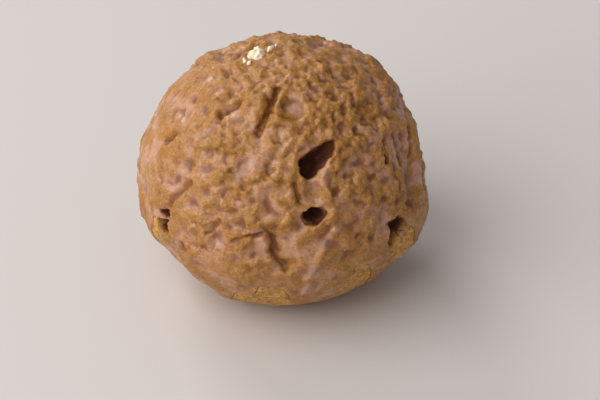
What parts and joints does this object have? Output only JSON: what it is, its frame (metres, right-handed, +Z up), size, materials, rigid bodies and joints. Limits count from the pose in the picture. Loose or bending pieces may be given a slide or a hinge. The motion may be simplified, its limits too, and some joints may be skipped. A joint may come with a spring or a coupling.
{
  "type": "cookie cream puff",
  "caption": "Round cookie cream puff: a choux bun under a thick, craggy chocolate-glazed cookie crust with torn holes and a dab of cream.",
  "frame": {"origin": "on the surface the puff rests on, under the middle of its outline", "axes": "+Z up; +X to the right seen from the front, along the widest way; -Y towards the front, the side with the two torn holes"},
  "size_m": [0.0875, 0.0838, 0.0775],
  "materials": {
    "glazed_cookie_crust": null,
    "baked_choux": null,
    "cream": null
  },
  "bodies": {
    "root": {"cookie_crust": "glazed_cookie_crust", "choux_bun": "baked_choux", "cream": "cream"}
  },
  "joints": []
}
